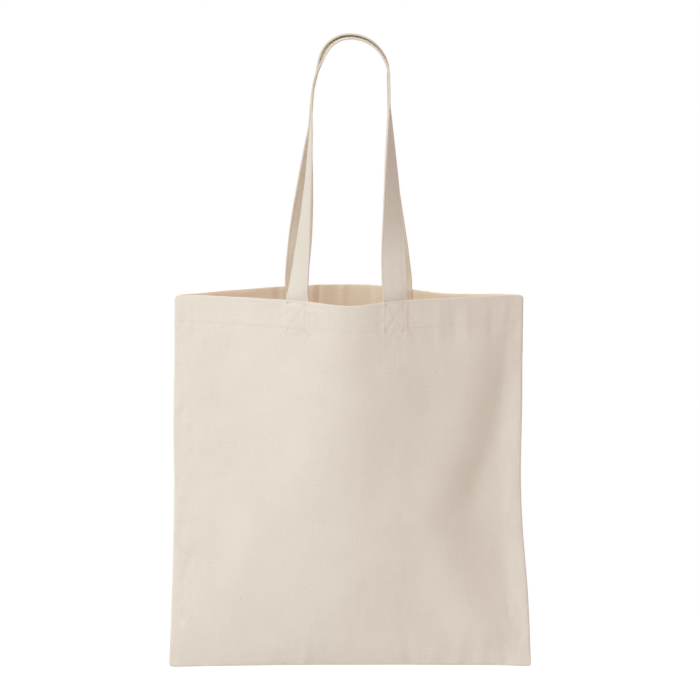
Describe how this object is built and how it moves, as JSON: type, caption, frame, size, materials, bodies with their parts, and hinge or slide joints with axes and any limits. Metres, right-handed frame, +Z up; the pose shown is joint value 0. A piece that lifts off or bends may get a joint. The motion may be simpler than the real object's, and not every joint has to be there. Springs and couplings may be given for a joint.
{
  "type": "tote bag",
  "caption": "Flat canvas tote bag with a turned hem, open mouth and long strap handles sewn inside the rim, hanging from its handles.",
  "frame": {"origin": "hang point, inside the top of the handle arch midway between the two straps", "axes": "+Z up, +X to the right seen from the front, the front panel faces -Y"},
  "size_m": [0.38, 0.1338, 0.6629],
  "materials": {
    "canvas": "unbleached plain-weave cotton canvas, matt",
    "strap_canvas": "the same canvas folded into a strap",
    "sewing_thread": "natural cotton sewing thread"
  },
  "bodies": {
    "bag": {"front_panel": "canvas", "front_hem": "canvas", "front_hem_stitching": "sewing_thread", "front_left_strap_end": "strap_canvas", "front_right_strap_end": "strap_canvas", "front_left_box_stitching": "sewing_thread", "front_right_box_stitching": "sewing_thread", "back_panel": "canvas", "back_hem": "canvas", "back_hem_stitching": "sewing_thread", "back_left_strap_end": "strap_canvas", "back_right_strap_end": "strap_canvas", "back_left_box_stitching": "sewing_thread", "back_right_box_stitching": "sewing_thread", "left_side_seam": "canvas", "right_side_seam": "canvas", "bottom_seam": "canvas"},
    "front_handle": {"front_handle_loop": "strap_canvas", "front_handle_stitching": "sewing_thread"},
    "back_handle": {"back_handle_loop": "strap_canvas", "back_handle_stitching": "sewing_thread"}
  },
  "joints": [
    {"name": "front_handle_swing", "type": "hinge", "parent": "bag", "child": "front_handle", "pos_m": [0, -0.06286, -0.25638], "axis": [1, 0, 0], "range_deg": [0, 180]},
    {"name": "back_handle_swing", "type": "hinge", "parent": "bag", "child": "back_handle", "pos_m": [0, 0.06286, -0.25638], "axis": [-1, 0, 0], "range_deg": [0, 180]}
  ]
}
